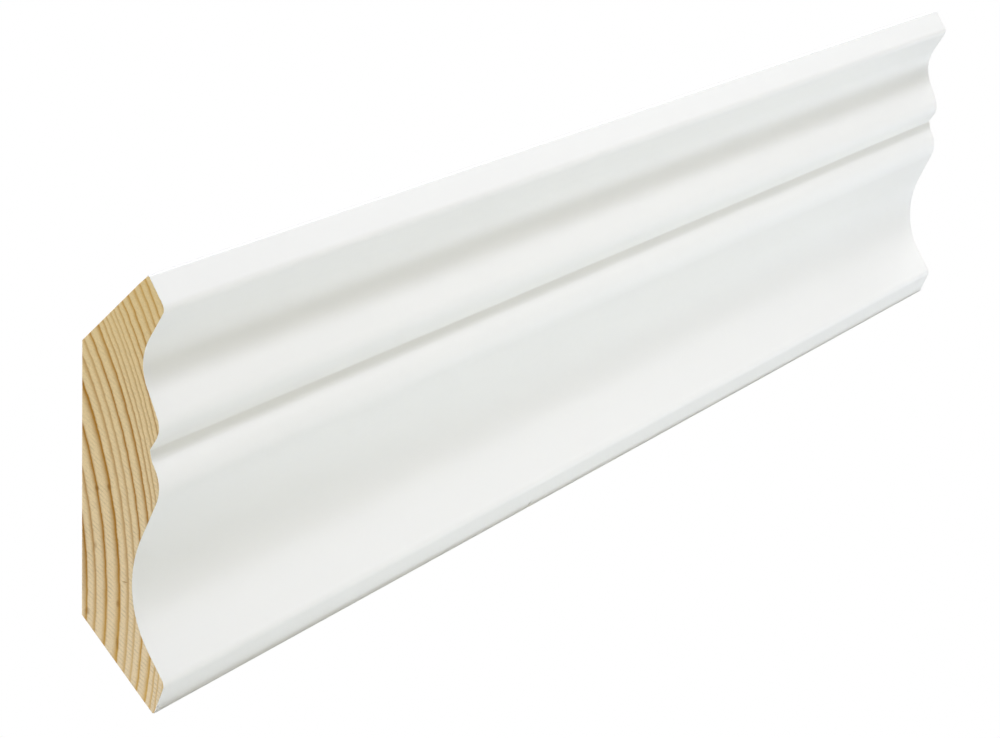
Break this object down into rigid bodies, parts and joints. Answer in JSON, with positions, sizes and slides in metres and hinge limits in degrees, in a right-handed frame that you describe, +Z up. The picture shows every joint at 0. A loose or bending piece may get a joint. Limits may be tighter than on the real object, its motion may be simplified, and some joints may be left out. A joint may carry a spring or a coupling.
{
  "type": "ceiling moulding",
  "caption": "Straight length of softwood crown moulding with coves, beads and a quirk, painted on the room side, with two back bevels that seat on ceiling and wall.",
  "frame": {"origin": "middle of the flat ceiling face, half way along the length", "axes": "+X along the length, +Z up into the ceiling, +Y into the wall; the moulded face looks towards -Y and down into the room"},
  "size_m": [0.45, 0.0662, 0.069],
  "materials": {
    "painted_pine": "satin white paint on the moulded face, bare planed pine behind and bare sawn end grain at both ends"
  },
  "bodies": {
    "root": {"moulding": "painted_pine"}
  },
  "joints": []
}
